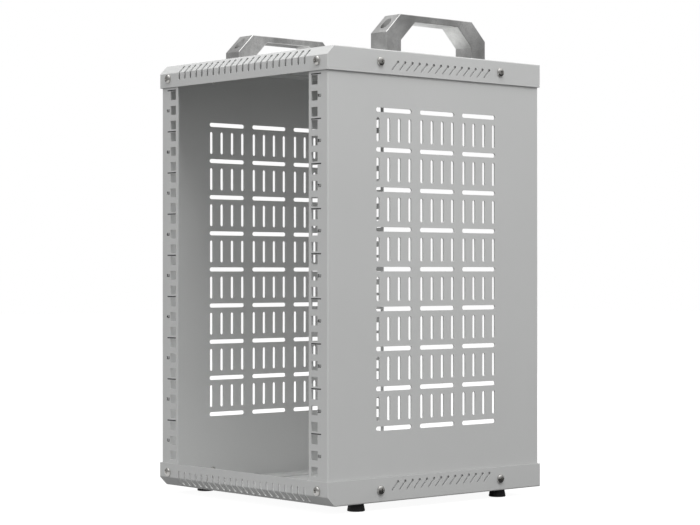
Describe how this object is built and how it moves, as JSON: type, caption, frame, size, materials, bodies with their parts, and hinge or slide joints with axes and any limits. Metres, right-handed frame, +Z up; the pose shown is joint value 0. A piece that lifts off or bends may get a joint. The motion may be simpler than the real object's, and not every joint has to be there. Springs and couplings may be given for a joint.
{
  "type": "open-frame rack",
  "caption": "Free-standing open-frame rack for ten-inch equipment: slotted side panels with square-hole rails between folded covers, with bridge handles and rubber feet.",
  "frame": {"origin": "on the floor under the middle of the rack, at the underside of the feet", "axes": "+X to the right seen from the front, +Y to the back, +Z up"},
  "size_m": [0.2876, 0.3076, 0.5016],
  "materials": {
    "light_grey_coat": "light grey powder coat, fine texture, satin",
    "bare_aluminium": "milled and blasted, uncoated",
    "black_rubber": "moulded, slightly glossy",
    "nickel_steel": "bright nickel plate"
  },
  "bodies": {
    "root": {"top_cover": "light_grey_coat", "bottom_cover": "light_grey_coat", "left_side_panel": "light_grey_coat", "right_side_panel": "light_grey_coat", "left_handle": "bare_aluminium", "right_handle": "bare_aluminium", "front_left_foot": "black_rubber", "front_right_foot": "black_rubber", "rear_left_foot": "black_rubber", "rear_right_foot": "black_rubber", "front_top_screws": "nickel_steel", "front_bottom_screws": "nickel_steel", "rear_top_screws": "nickel_steel", "rear_bottom_screws": "nickel_steel", "left_top_screws": "nickel_steel", "left_bottom_screws": "nickel_steel", "right_top_screws": "nickel_steel", "right_bottom_screws": "nickel_steel", "left_panel_nuts": "nickel_steel", "right_panel_nuts": "nickel_steel", "left_handle_screws": "nickel_steel", "right_handle_screws": "nickel_steel", "left_handle_nuts": "nickel_steel", "right_handle_nuts": "nickel_steel", "foot_screws": "nickel_steel", "foot_washers": "nickel_steel", "foot_nuts": "nickel_steel"}
  },
  "joints": []
}
